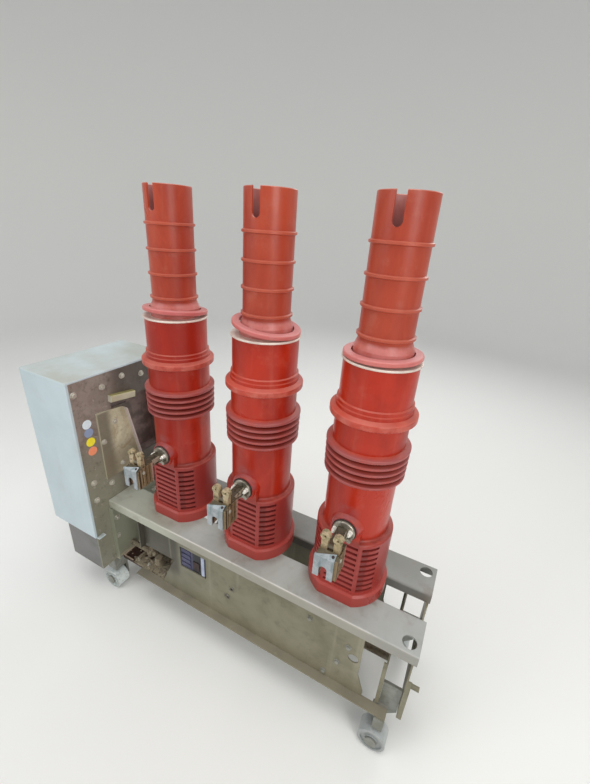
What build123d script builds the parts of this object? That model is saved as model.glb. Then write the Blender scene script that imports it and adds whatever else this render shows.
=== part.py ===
"""Medium-voltage vacuum circuit breaker with a side-mounted mechanism, on a low steel truck.

Three moulded epoxy poles stand in a row on two sheet-steel beams. The mechanism housing
closes the left end. The truck below the beams runs on four plain steel rollers.

Axes: X runs along the row of poles, from the mechanism to the free end. The contacts face
-Y. The origin lies on the ground under the middle of the whole object. Positions below are laid out
from the axis of the middle pole and moved to the origin as each piece is written. Millimetres.
"""
from build123d import *
import math
import os

os.makedirs("parts", exist_ok=True)

# Layout
pole_pitch = 230.0
pole_names = {"left": -pole_pitch, "middle": 0.0, "right": pole_pitch}
deck_z = 320.0              # top of the two beams
sheet = 3.0                 # steel sheet of the truck
seat_gap = 0.3              # paint and fit between pieces that only rest on each other

# Beams that carry the poles
deck_mid_y = 3.0
beam_width = 82.0
beam_gap = 64.0             # open strip between the two beams
beam_sheet = 4.0
beam_lip = 24.0
beam_left = -405.4
beam_right = 412.0
lift_hole_radius = 14.0
lift_hole_x = 390.0
lift_hole_inset = 23.0      # from the outer edge of a beam

# Webs of the truck
web_inset = 11.0            # webs stand this far inside the beams' outer edges
web_left = -300.0
web_right = 312.0
web_toe = 328.0             # the web's right edge runs out to here at the foot
web_toe_bottom = 120.0
web_toe_top = 165.0
bay_top = 209.0             # opening at the left end of a web
bay_right = -196.0
bay_right_foot = -240.0
bay_foot_z = 112.0
flange_z = 105.0            # upper face of the webs' foot flanges
flange_width = 19.5
flange_left = -325.0
flange_right = 385.0
post_flange = 14.0
big_hole_radius = 11.5
big_hole_x = 296.0
big_hole_z = 208.0
small_hole_radius = 5.0
window_left = -172.0
window_right = -90.0
window_bottom = 203.0
window_top = 270.0

# End plates and cross plate
end_plate_x = 404.0
end_flange = 10.0
end_flange_top = 228.0
stud_radius = 5.0
stud_length = 26.0
stud_y = -88.0
stud_z = 203.0
cross_plate_x = 361.0
cross_plate_bottom = 108.0
cross_plate_top = 240.0
cross_flange = 8.0
left_plate_bottom = 115.0
left_plate_overhang = 15.5  # past the webs, on both sides

# Drive in the left bay
tray_z = 99.0
tray_thickness = 9.6
tray_pocket = 7.0
outer_pocket_x = -377.0
outer_pocket_y = -66.0
outer_pocket_width = 38.0
outer_pocket_depth = 50.0
inner_pocket_x = -333.0
inner_pocket_y = -45.0
inner_pocket_width = 30.0
inner_pocket_depth = 46.0
cross_rib_x = -353.0
cross_rib_y = -58.0
spring_seat_x = -292.0
spring_seat_y = -66.0
tray_left = -402.4
tray_right = -190.0
tray_rib = 6.0
shaft_y = -20.0
shaft_z = 152.0
shaft_radius = 9.0
lever_thickness = 10.0
lever_tip_y = 3.0
lever_tip_z = 214.0
rod_radius = 5.0
crank_x = -330.0
crank_arm_y = -62.0
crank_arm_z = 132.0
link_radius = 7.0
pedestal_x = -262.0
trip_box_depth = 36.0

# Rollers
roller_radius = 30.0
roller_width = 36.0
roller_bore_radius = 9.0
pin_clearance = 0.3
pin_radius = roller_bore_radius - pin_clearance
roller_groove = 3.0
roller_left_x = -425.0
roller_right_x = 369.0
roller_side_gap = 5.0
roller_top_gap = 6.0
roller_face_from_mid = 132.0   # outer face of a roller, from the middle of the truck
carrier_thickness = 6.0
carrier_half_width = 16.0
carrier_top = 172.0
carrier_reach = 34.0
block_inset = 7.0            # spacer block, from the roller's outer face
block_half = 6.0
pin_head_radius = 13.0
pin_head_thickness = 3.0
pin_head_gap = 1.0

# Mechanism housing
side_plate_right = -406.0
side_plate_thickness = 4.0
side_plate_bottom = 113.0
cover_depth = 172.0
cover_right = -405.0
cover_rim = 5.0             # edge of the cover around the side plate
cover_front = -165.0
cover_back = 127.0
cover_bottom = 230.0
cover_top = 677.0
cover_tab = 20.0
lower_box_left = -531.0
lower_box_front = -160.0
lower_box_back = 105.0
recess_depth = 38.0
recess_front = -70.0
recess_back = 96.0
recess_bottom = 398.0
recess_top = 594.0
slot_bottom = 576.0
slot_top = 588.0
slot_left = -62.0
opening_bend_y = -17.0
opening_bend_z = 562.0
opening_foot_y = 12.0
linkage_top = 578.0
linkage_bottom = 385.0
linkage_left = -107.0
linkage_flange = 14.0
linkage_corner_y = -34.0
linkage_foot_y = 8.0
fold_top_y = -26.0
fold_top_z = 565.0
fold_bottom_y = 3.0
fold_bottom_z = 414.0
linkage_sheet = 2.5
bar_y = -32.0
bar_z = 600.0
bar_length = 72.0
bar_height = 17.0
bar_depth = 14.0
bar_tilt = -8.0

# Moulded pole body, heights from the deck
body_radius = 66.0
base_radius = 78.0
base_flat = 70.0            # distance from the axis to the flat front of the base
base_top = 158.0
base_edge = 4.0
plinth_radius = 86.0
plinth_flat = 77.5
plinth_height = 29.0
plinth_edge = 4.0
louvre_count = 9
louvre_bottom = 34.4
louvre_pitch = 13.6
louvre_gap = 6.2
louvre_depth = 6.0
corner_rib = 3.5
side_louvre_from = 30.0     # degrees from the front, around the pole's axis
side_louvre_to = 57.0
shed_count = 5
shed_pitch = 13.8
shed_bottom_z = 287.5
shed_radius = 78.6
shed_edge = 4.5
shed_root = 8.0
neck_radius = 68.0
skirt_z = 404.5
skirt_radius = 79.0
collar_radius = 65.5
collar_top = 505.5
socket_radius = 54.0
socket_depth = 20.0
boss_z = 187.0
boss_radius = 27.0
boss_front = 75.0
boss_root = 45.0
boss_taper = 18.0
pad_half = 31.0
boss_recess_radius = 24.0
boss_recess_depth = 6.0

# Metal ring, loose ring and upper tube
rim_radius = 68.7
rim_thickness = 4.0
tube_radius = 45.7
tube_wall = 4.5
tube_length = 271.7
tube_floor = 60.0           # thickness of the solid foot of the tube
foot_radius = 51.0
foot_straight = 18.0
foot_height = 31.0
bead_radius = 49.0
bead_height = 3.6
bead_count = 4
bead_pitch = 47.0
first_bead = 39.5           # above the metal ring
slot_width = 15.5
slot_depth = 47.0
loose_ring_inner = 53.6
loose_ring_outer = 67.5
loose_ring_height = 9.0
loose_ring_edge = 3.0

# Lower terminal, contact jaws and clip
terminal_radius = 22.0
terminal_length = 6.0
terminal_bolt = 9.0         # across flats
terminal_bolt_length = 7.0
terminal_bolt_x = 14.0
terminal_bolt_z = 176.0
contact_half_width = 20.0
contact_front = 150.0
contact_bottom = 152.0
contact_top = 202.0
cross_back = 122.0
leg_top = 176.0
leg_width = 8.0
arm_left = -12.0
arm_right = 8.0
arm_height = 20.0
groove_count = 3
groove_width = 2.6
groove_depth = 4.0
jaw_width = 12.0
jaw_head_radius = 8.8
jaw_spacing = 23.0
jaw_depth = 9.0
jaw_top = 238.0
jaw_hole_radius = 2.2
clip_sheet = 2.5
clip_front = 164.0
clip_top = 196.0
clip_bottom = 150.0
clip_back = 158.0
clip_right = 14.0
clip_notch_width = 15.0
clip_notch_height = 26.0

beam_front_y = deck_mid_y - beam_gap / 2 - beam_width
beam_back_y = deck_mid_y + beam_gap / 2 + beam_width
web_front_y = beam_front_y + web_inset
web_back_y = beam_back_y - web_inset
under_lip_z = deck_z - beam_lip - seat_gap
side_plate_left = side_plate_right - side_plate_thickness
cover_left = cover_right - cover_depth
carrier_plate_from_mid = roller_face_from_mid - roller_width - roller_side_gap
tube_top = collar_top + rim_thickness - socket_depth - 3.7 + tube_length


# From the middle pole's axis to the origin
ends_x = (cover_left, end_plate_x + stud_length)
ends_y = (cover_front, deck_mid_y + roller_face_from_mid + pin_head_gap + pin_head_thickness)
to_origin = Location((-sum(ends_x) / 2, -sum(ends_y) / 2, 0))


def write(solid, label):
    """Names a finished piece, moves it to the origin and writes its own STEP file."""
    placed = solid.moved(to_origin)
    placed.label = label
    export_step(placed, f"parts/{label}.step")


# Beams: folded channels, open below
def build_beam(outer_y, inner_y, label):
    low, high = min(outer_y, inner_y), max(outer_y, inner_y)
    toward_mid = 1 if inner_y > outer_y else -1
    with BuildPart() as beam:
        with BuildSketch(Plane.YZ.offset(beam_left)):
            with BuildLine():
                Polyline(
                    (low, deck_z - beam_lip), (low, deck_z), (high, deck_z),
                    (high, deck_z - beam_lip), (high - beam_sheet, deck_z - beam_lip),
                    (high - beam_sheet, deck_z - beam_sheet), (low + beam_sheet, deck_z - beam_sheet),
                    (low + beam_sheet, deck_z - beam_lip), close=True,
                )
            make_face()
        extrude(amount=beam_right - beam_left)
        fold_edges = beam.edges().filter_by(Axis.X).group_by(Axis.Z)[-1]
        fillet(fold_edges, radius=beam_sheet)
        hole_y = outer_y + toward_mid * lift_hole_inset
        with Locations((lift_hole_x, hole_y, deck_z)):
            Hole(radius=lift_hole_radius, depth=2 * beam_sheet)
    write(beam.part, label)


build_beam(beam_front_y, beam_front_y + beam_width, "front_beam")
build_beam(beam_back_y, beam_back_y - beam_width, "back_beam")


# Webs: upright sheets under the beams, with a foot flange and an end post turned outwards
def build_web(face_y, outward, pierced, label):
    inner_y = face_y - outward * sheet
    foot_y = face_y + outward * flange_width
    foot_z = flange_z - sheet
    top_z = deck_z - beam_sheet - seat_gap
    with BuildPart() as web:
        with BuildSketch(Plane.XZ.offset(-face_y)):
            with BuildLine():
                Polyline(
                    (web_left, bay_top), (web_left, top_z), (web_right, top_z), (web_right, web_toe_top),
                    (web_toe, web_toe_bottom), (web_toe, foot_z), (bay_right_foot, foot_z),
                    (bay_right_foot, bay_foot_z), (bay_right, bay_top), close=True,
                )
            make_face()
            with Locations((big_hole_x, big_hole_z)):
                Circle(big_hole_radius, mode=Mode.SUBTRACT)
            if pierced:
                for hole_x, hole_z, hole_radius in ((-26, 186, small_hole_radius), (-12, 218, small_hole_radius - 1)):
                    with Locations((hole_x, hole_z)):
                        Circle(hole_radius, mode=Mode.SUBTRACT)
                with Locations(((window_left + window_right) / 2, (window_bottom + window_top) / 2)):
                    Rectangle(window_right - window_left, window_top - window_bottom, mode=Mode.SUBTRACT)
        extrude(amount=outward * sheet)
        with BuildSketch(Plane.XY.offset(foot_z)):
            with Locations(((flange_left + flange_right) / 2, (inner_y + foot_y) / 2)):
                Rectangle(flange_right - flange_left, abs(foot_y - inner_y))
        extrude(amount=sheet)
        with BuildSketch(Plane.XY.offset(bay_top)):
            with Locations((web_left + sheet / 2, (inner_y + face_y + outward * post_flange) / 2)):
                Rectangle(sheet, post_flange + sheet)
        extrude(amount=under_lip_z - bay_top)
    write(web.part, label)


build_web(web_front_y, -1, True, "front_web")
build_web(web_back_y, 1, False, "back_web")


# End plates and cross plate of the truck
with BuildPart() as right_end_plate:
    with BuildSketch(Plane.XY.offset(flange_z - sheet)):
        with Locations((end_plate_x + sheet / 2, (web_front_y + web_back_y) / 2)):
            Rectangle(sheet, web_back_y - web_front_y)
    extrude(amount=under_lip_z - flange_z + sheet)
    with BuildSketch(Plane.XY.offset(flange_z - sheet)):
        for face_y, inward in ((web_front_y, 1), (web_back_y, -1)):
            with Locations((end_plate_x + end_flange / 2, face_y + inward * sheet / 2)):
                Rectangle(end_flange, sheet)
    extrude(amount=end_flange_top - flange_z + sheet)
    with BuildSketch(Plane.YZ.offset(end_plate_x)):
        with Locations((stud_y, stud_z)):
            Circle(stud_radius)
    extrude(amount=stud_length)
write(right_end_plate.part, "right_end_plate")

with BuildPart() as left_end_plate:
    plate_x = side_plate_right + seat_gap
    plate_width = web_back_y - web_front_y + 2 * left_plate_overhang
    with BuildSketch(Plane.XY.offset(left_plate_bottom)):
        with Locations((plate_x + sheet / 2, deck_mid_y)):
            Rectangle(sheet, plate_width)
        for side in (-1, 1):
            edge_y = deck_mid_y + side * (plate_width - sheet) / 2
            with Locations((plate_x + post_flange / 2, edge_y)):
                Rectangle(post_flange, sheet)
    extrude(amount=under_lip_z - left_plate_bottom)
    with BuildSketch(Plane.XY.offset(left_plate_bottom)):
        with Locations((plate_x + post_flange / 4, deck_mid_y)):
            Rectangle(post_flange / 2, plate_width)
    extrude(amount=sheet / 2)
write(left_end_plate.part, "left_end_plate")

with BuildPart() as cross_plate:
    cross_half = (web_back_y - web_front_y) / 2 - sheet - seat_gap
    with BuildSketch(Plane.XY.offset(cross_plate_bottom)):
        with Locations((cross_plate_x + sheet / 2, deck_mid_y)):
            Rectangle(sheet, 2 * cross_half)
        for side in (-1, 1):
            with Locations((cross_plate_x + sheet - cross_flange / 2, deck_mid_y + side * (cross_half - sheet / 2))):
                Rectangle(cross_flange, sheet)
    extrude(amount=cross_plate_top - cross_plate_bottom)
write(cross_plate.part, "inner_cross_plate")


# Drive tray with two pockets, a cross rib and the shaft's pedestal
with BuildPart() as drive_tray:
    tray_half = (web_back_y - web_front_y) / 2 - sheet - seat_gap
    with BuildSketch(Plane.XY.offset(tray_z)):
        with Locations(((tray_left + tray_right) / 2, deck_mid_y)):
            Rectangle(tray_right - tray_left, 2 * tray_half)
    extrude(amount=tray_thickness)
    tray_top = tray_z + tray_thickness
    with BuildSketch(Plane.XY.offset(tray_top)):
        with Locations((outer_pocket_x, outer_pocket_y)):
            Rectangle(outer_pocket_width, outer_pocket_depth)
        with Locations((inner_pocket_x, inner_pocket_y)):
            Rectangle(inner_pocket_width, inner_pocket_depth)
    extrude(amount=-tray_pocket, mode=Mode.SUBTRACT)
    with BuildSketch(Plane.XY.offset(tray_top - 1)):
        with Locations((cross_rib_x, cross_rib_y)):
            Rectangle(8, 70)
    extrude(amount=1 + tray_rib)
    with BuildSketch(Plane.YZ.offset(pedestal_x)):
        with BuildLine():
            Polyline(
                (shaft_y - 34, tray_top - 1), (shaft_y - 17, shaft_z), (shaft_y + 17, shaft_z),
                (shaft_y + 34, tray_top - 1), close=True,
            )
        make_face()
        with Locations((shaft_y, shaft_z)):
            Circle(17)
            Circle(shaft_radius + seat_gap, mode=Mode.SUBTRACT)
    extrude(amount=20)
    # spring seat in front of the shaft
    with BuildSketch(Plane.XY.offset(tray_top - 1)):
        with Locations((spring_seat_x, spring_seat_y)):
            Circle(15)
    extrude(amount=26, taper=12)
write(drive_tray.part, "drive_tray")

# Drive shaft with a lever and push rod under each pole
with BuildPart() as drive_shaft:
    with BuildSketch(Plane.YZ.offset(tray_left)):
        with Locations((shaft_y, shaft_z)):
            Circle(shaft_radius)
    extrude(amount=cross_plate_x - seat_gap - tray_left)
    for pole_x in pole_names.values():
        with BuildSketch(Plane.YZ.offset(pole_x - lever_thickness / 2)):
            with Locations((shaft_y, shaft_z)):
                Circle(shaft_radius + 7)
            with Locations((lever_tip_y, lever_tip_z)):
                Circle(rod_radius + 5)
            make_hull()
        extrude(amount=lever_thickness)
        with BuildSketch(Plane.XY.offset(lever_tip_z)):
            with Locations((pole_x, lever_tip_y)):
                Circle(rod_radius)
        extrude(amount=deck_z - seat_gap - lever_tip_z)
write(drive_shaft.part, "drive_shaft")

# Crank on the shaft and the link that runs back to the mechanism
with BuildPart() as drive_crank:
    with BuildSketch(Plane.YZ.offset(crank_x)):
        with Locations((shaft_y, shaft_z)):
            Circle(shaft_radius + 9)
        with Locations((crank_arm_y, crank_arm_z)):
            Circle(link_radius + 5)
        make_hull()
        with Locations((shaft_y, shaft_z)):
            Circle(shaft_radius + seat_gap, mode=Mode.SUBTRACT)
    extrude(amount=14)
    with BuildSketch(Plane.YZ.offset(tray_left)):
        with Locations((crank_arm_y, crank_arm_z)):
            Circle(link_radius)
    extrude(amount=crank_x - tray_left + 26)
write(drive_crank.part, "drive_crank")

# Auxiliary switch box behind the window of the front web
with BuildPart() as trip_box:
    with BuildSketch(Plane.XY.offset(window_bottom - 4)):
        with Locations((
            (window_left + window_right) / 2, web_front_y + sheet + seat_gap + trip_box_depth / 2,
        )):
            Rectangle(window_right - window_left + 8, trip_box_depth)
    extrude(amount=window_top - window_bottom + 8)
write(trip_box.part, "switch_box")


# Rollers on stub pins
def build_roller(x, outward, upper_z, has_upright, label):
    outer_y = deck_mid_y + outward * roller_face_from_mid
    side = "front" if outward < 0 else "back"
    half = roller_width / 2
    out = -outward
    centre = Plane(origin=(x, outer_y - outward * half, roller_radius), x_dir=(1, 0, 0), z_dir=(0, -1, 0))
    with BuildPart() as roller:
        with BuildSketch(centre.offset(-out * half)):
            Circle(roller_radius)
            Circle(roller_bore_radius, mode=Mode.SUBTRACT)
        extrude(amount=out * roller_width)
        chamfer(roller.edges().filter_by(GeomType.CIRCLE).group_by(SortBy.RADIUS)[-1], length=1)
        with BuildSketch(centre.offset(out * half)):
            Circle(roller_radius - 6)
            Circle(pin_head_radius + 2, mode=Mode.SUBTRACT)
        extrude(amount=-out * roller_groove, mode=Mode.SUBTRACT)
    write(roller.part, f"{side}_roller_{label}")

    with BuildPart() as carrier:
        plate = centre.offset(-out * (half + roller_side_gap + carrier_thickness))
        top = upper_z - roller_radius
        with BuildSketch(plate):
            with BuildLine():
                w = carrier_half_width
                if has_upright:
                    step = cross_plate_x + sheet + seat_gap - x
                    low, high = cross_plate_bottom - 12 - roller_radius, carrier_top - roller_radius
                    Polyline(
                        (-w, 0), (-w, low - 6), (step, low), (step, high),
                        (carrier_reach, high), (carrier_reach, low), (w, low - 20), (w, 0),
                    )
                else:
                    Polyline((-w, 0), (-w, top), (w, top), (w, 0))
                ThreePointArc((w, 0), (0, -w), (-w, 0))
            make_face()
        extrude(amount=out * carrier_thickness)
        # spacer block between the roller and the sheet above it
        block_z = 2 * roller_radius + roller_top_gap
        plate_y = deck_mid_y + outward * (carrier_plate_from_mid - carrier_thickness)
        block_y = outer_y - outward * block_inset
        block_from = -block_half if has_upright else -w
        with BuildSketch(Plane.XY.offset(block_z)):
            with Locations((x + (block_from + w) / 2, (plate_y + block_y) / 2)):
                Rectangle(w - block_from, abs(block_y - plate_y))
        extrude(amount=upper_z - block_z)
        with BuildSketch(centre.offset(-out * (half + roller_side_gap))):
            Circle(pin_radius)
        extrude(amount=out * (roller_width + roller_side_gap + pin_head_gap + pin_head_thickness))
        with BuildSketch(centre.offset(out * (half + pin_head_gap))):
            Circle(pin_head_radius)
        extrude(amount=out * pin_head_thickness)
    write(carrier.part, f"{side}_axle_carrier_{label}")


for outward in (-1, 1):
    build_roller(roller_left_x, outward, side_plate_bottom - seat_gap, False, "left")
    build_roller(roller_right_x, outward, flange_z - sheet - seat_gap, True, "right")


# Mechanism cover: its edge stands around the side plate
with BuildPart() as cover:
    with BuildSketch(Plane.XY.offset(cover_bottom)):
        with Locations(((cover_left + cover_right) / 2, (cover_front + cover_back) / 2)):
            Rectangle(cover_right - cover_left, cover_back - cover_front)
    extrude(amount=cover_top - cover_bottom)
    fillet(cover.edges().filter_by(Axis.Z).group_by(Axis.X)[0], radius=6)
    fillet(cover.edges().group_by(Axis.Z)[-1], radius=2.5)
    with BuildSketch(Plane.YZ.offset(cover_right)):
        with Locations(((cover_front + cover_back) / 2, (cover_bottom + cover_top - cover_rim) / 2)):
            Rectangle(cover_back - cover_front - 2 * cover_rim, cover_top - cover_bottom - cover_rim)
    extrude(amount=side_plate_left - seat_gap - cover_right, mode=Mode.SUBTRACT)
    # hollow behind the openings of the side plate
    with BuildSketch(Plane.YZ.offset(side_plate_left - seat_gap)):
        with Locations(((recess_front + recess_back) / 2, (recess_bottom + recess_top) / 2)):
            Rectangle(recess_back - recess_front, recess_top - recess_bottom)
    extrude(amount=-recess_depth, mode=Mode.SUBTRACT)
    # folded tab at the lower front corner
    with BuildSketch(Plane.XY.offset(cover_bottom)):
        with Locations((cover_right + 2, cover_front + cover_tab / 2 + 4)):
            Rectangle(cover_rim + 8, cover_tab)
    extrude(amount=-sheet)
write(cover.part, "mechanism_cover")

with BuildPart() as side_plate:
    inset = cover_rim + seat_gap
    plate_top = cover_top - inset
    with BuildSketch(Plane.YZ.offset(side_plate_left)):
        with Locations(((cover_front + cover_back) / 2, (side_plate_bottom + plate_top) / 2)):
            Rectangle(cover_back - cover_front - 2 * inset, plate_top - side_plate_bottom)
        with BuildLine():
            Polyline(
                (slot_left, slot_bottom), (slot_left, slot_top), (recess_back - 6, slot_top),
                (recess_back - 6, recess_bottom + 8), (opening_foot_y, recess_bottom + 8),
                (opening_bend_y, opening_bend_z), (opening_bend_y, slot_bottom), close=True,
            )
        make_face(mode=Mode.SUBTRACT)
    extrude(amount=side_plate_thickness)
    # clearance around the folded tab of the cover
    with BuildSketch(Plane.YZ.offset(side_plate_left)):
        with Locations((cover_front + cover_tab / 2 + 4, cover_bottom - sheet / 2)):
            Rectangle(cover_tab + 2, sheet + 2)
    extrude(amount=side_plate_thickness, mode=Mode.SUBTRACT)
write(side_plate.part, "mechanism_side_plate")

with BuildPart() as lower_box:
    with BuildSketch(Plane.XY.offset(side_plate_bottom)):
        with Locations(((lower_box_left + side_plate_left - seat_gap) / 2, (lower_box_front + lower_box_back) / 2)):
            Rectangle(side_plate_left - seat_gap - lower_box_left, lower_box_back - lower_box_front)
    extrude(amount=cover_bottom - sheet - seat_gap - side_plate_bottom)
    fillet(lower_box.edges().filter_by(Axis.Z).group_by(Axis.X)[0], radius=4)
write(lower_box.part, "lower_housing")

# Linkage plate on the side plate, with one edge folded forward
with BuildPart() as linkage_plate:
    face_x = side_plate_right + seat_gap
    fold_top, fold_bottom = (fold_top_y, fold_top_z), (fold_bottom_y, fold_bottom_z)
    run = math.dist(fold_top, fold_bottom)
    across = ((fold_bottom[1] - fold_top[1]) / run, -(fold_bottom[0] - fold_top[0]) / run)
    fold_inner = [
        (point[0] + across[0] * linkage_sheet, point[1] + across[1] * linkage_sheet)
        for point in (fold_top, fold_bottom)
    ]
    with BuildSketch(Plane.YZ.offset(face_x)):
        with BuildLine():
            Polyline(
                (linkage_left, linkage_top), (linkage_corner_y, linkage_top - 8), fold_top, fold_bottom,
                (linkage_foot_y, linkage_bottom), (linkage_left + 1, linkage_bottom), close=True,
            )
        make_face()
    extrude(amount=linkage_sheet)
    with BuildSketch(Plane.YZ.offset(face_x)):
        with BuildLine():
            Polyline(fold_top, fold_bottom, fold_inner[1], fold_inner[0], close=True)
        make_face()
    extrude(amount=linkage_flange)
write(linkage_plate.part, "linkage_plate")

with BuildPart() as bar:
    with BuildSketch(Plane.YZ.offset(side_plate_right + seat_gap)):
        with Locations((bar_y, bar_z)):
            Rectangle(bar_length, bar_height, rotation=bar_tilt)
    extrude(amount=bar_depth)
    chamfer(bar.edges().group_by(Axis.X)[-1], length=1.5)
write(bar.part, "bar_bracket")


# Moulded pole body: louvred base, body with sheds, neck, skirt and collar
with BuildPart() as pole_body:
    with BuildSketch(Plane.XZ):
        with BuildLine():
            outline = [(0, 0), (base_radius, 0), (base_radius, base_top), (body_radius, base_top + 1)]
            for shed in range(shed_count - 1):
                edge_z = shed_bottom_z + shed * shed_pitch
                edge_radius = shed_radius - 1.5 + shed * 0.3
                outline += [
                    (body_radius, edge_z), (edge_radius, edge_z),
                    (edge_radius, edge_z + shed_edge), (body_radius, edge_z + shed_root),
                ]
            top_shed = shed_bottom_z + (shed_count - 1) * shed_pitch
            outline += [
                (body_radius, top_shed), (shed_radius, top_shed), (shed_radius, top_shed + shed_edge + 2),
                (neck_radius, top_shed + 10), (neck_radius, skirt_z), (skirt_radius, skirt_z),
                (skirt_radius, skirt_z + 11), (skirt_radius - 9, skirt_z + 16),
                (skirt_radius - 9, skirt_z + 22), (collar_radius + 3, skirt_z + 24),
                (collar_radius + 3, skirt_z + 30), (collar_radius, skirt_z + 32),
                (collar_radius, collar_top), (socket_radius, collar_top),
                (socket_radius, collar_top - socket_depth), (0, collar_top - socket_depth),
            ]
            Polyline(*outline, close=True)
        profile = make_face()
        corners = profile.vertices()
        near = lambda x, y: [v for v in corners if abs(v.X - x) < 0.1 and abs(v.Y - y) < 0.1]
        round_edges = near(base_radius, base_top) + near(body_radius, base_top + 1)
        fillet(round_edges, radius=min(base_edge, (base_radius - body_radius) / 3))
    revolve(axis=Axis.Z)
    soft = [
        edge for edge in pole_body.edges().filter_by(GeomType.CIRCLE)
        if edge.radius > shed_radius - 2 and edge.arc_center.Z > shed_bottom_z - 1
    ]
    fillet(soft, radius=1.6)
    # flat front of the base
    with BuildSketch(Plane.XY):
        with Locations((0, -base_flat - 10)):
            Rectangle(3 * base_radius, 20)
    extrude(amount=base_top + 10, mode=Mode.SUBTRACT)
    # plinth around the foot
    with BuildSketch(Plane.XY):
        Circle(plinth_radius)
        with Locations((0, -plinth_flat - plinth_radius)):
            Rectangle(3 * plinth_radius, 2 * plinth_radius, mode=Mode.SUBTRACT)
    extrude(amount=plinth_height - plinth_edge)
    with BuildSketch(Plane.XY.offset(plinth_height - plinth_edge)):
        Circle(plinth_radius)
        with Locations((0, -plinth_flat - plinth_radius)):
            Rectangle(3 * plinth_radius, 2 * plinth_radius, mode=Mode.SUBTRACT)
    extrude(amount=plinth_edge, taper=45)
    # boss for the lower terminal, with a pad that runs down to the flat front
    root_growth = (boss_front - boss_root) * math.tan(math.radians(boss_taper))
    with BuildSketch(Plane.XZ.offset(boss_root)):
        with Locations((0, boss_z)):
            Circle(boss_radius + root_growth)
    extrude(amount=boss_front - boss_root, taper=boss_taper)
    with BuildSketch(Plane.XY.offset(base_top - 8)):
        with BuildLine():
            Polyline(
                (-pad_half, -base_flat), (pad_half, -base_flat), (pad_half, -boss_root),
                (-pad_half, -boss_root), close=True,
            )
        make_face()
    extrude(amount=boss_z - base_top + 8)
    with BuildSketch(Plane.XZ.offset(boss_front)):
        with Locations((0, boss_z)):
            Circle(boss_recess_radius)
    extrude(amount=-boss_recess_depth, mode=Mode.SUBTRACT)
    # louvres: straight on the flat front, arcs on both sides
    flat_half = math.sqrt(base_radius ** 2 - base_flat ** 2)
    for row in range(louvre_count):
        with BuildSketch(Plane.XY.offset(louvre_bottom + row * louvre_pitch)):
            with Locations((0, -base_flat)):
                Rectangle(2 * (flat_half - corner_rib), 2 * louvre_depth)
            for side in (-1, 1):
                start, end = side_louvre_from, side_louvre_to
                with BuildLine():
                    points = []
                    for radius, first, last in ((base_radius + 4, start, end), (base_radius - louvre_depth, end, start)):
                        for angle in (first, (first + last) / 2, last):
                            a = math.radians(angle)
                            points.append((side * radius * math.sin(a), -radius * math.cos(a)))
                    ThreePointArc(points[0], points[1], points[2])
                    Line(points[2], points[3])
                    ThreePointArc(points[3], points[4], points[5])
                    Line(points[5], points[0])
                make_face()
        extrude(amount=louvre_gap, mode=Mode.SUBTRACT)

# Metal ring on the collar
with BuildPart() as rim:
    with BuildSketch(Plane.XY.offset(collar_top + seat_gap)):
        Circle(rim_radius)
        Circle(foot_radius + 0.5, mode=Mode.SUBTRACT)
    extrude(amount=rim_thickness - seat_gap)
    fillet(rim.edges().filter_by(GeomType.CIRCLE).group_by(SortBy.RADIUS)[-1], radius=1)

# Upper tube with beads, a flared foot and the slot that opens to the front
with BuildPart() as tube:
    foot_z = tube_top - tube_length
    rim_top = collar_top + rim_thickness
    inner = tube_radius - tube_wall
    with BuildSketch(Plane.XZ):
        with BuildLine():
            outline = [
                (0, foot_z), (foot_radius, foot_z), (foot_radius, rim_top + foot_straight),
                (tube_radius, rim_top + foot_height),
            ]
            for bead in range(bead_count):
                bead_z = rim_top + first_bead + bead * bead_pitch
                outline += [
                    (tube_radius, bead_z - bead_height / 2 - 1.5), (bead_radius, bead_z - bead_height / 2),
                    (bead_radius, bead_z + bead_height / 2), (tube_radius, bead_z + bead_height / 2 + 1.5),
                ]
            outline += [
                (tube_radius, tube_top - 1), (tube_radius - 1, tube_top), (inner + 1, tube_top),
                (inner, tube_top - 1), (inner, foot_z + tube_floor), (0, foot_z + tube_floor),
            ]
            Polyline(*outline, close=True)
        make_face()
    revolve(axis=Axis.Z)
    with BuildSketch(Plane.XZ):
        with Locations((0, tube_top - slot_depth + slot_width / 2)):
            Circle(slot_width / 2)
        with Locations((0, tube_top - slot_depth / 2 + slot_width / 2)):
            Rectangle(slot_width, slot_depth)
    extrude(amount=2 * tube_radius, mode=Mode.SUBTRACT)

# Lower terminal
with BuildPart() as terminal:
    recess_y = boss_front - boss_recess_depth + seat_gap
    with BuildSketch(Plane.XZ.offset(recess_y)):
        with Locations((0, boss_z)):
            Circle(terminal_radius)
    extrude(amount=boss_front + terminal_length - recess_y)
    chamfer(terminal.edges().group_by(Axis.Y)[0], length=1.5)
    with BuildSketch(Plane.XZ.offset(boss_front + terminal_length)):
        with Locations((terminal_bolt_x, terminal_bolt_z)):
            RegularPolygon(terminal_bolt / 2, 6, major_radius=False)
    extrude(amount=terminal_bolt_length)

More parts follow.
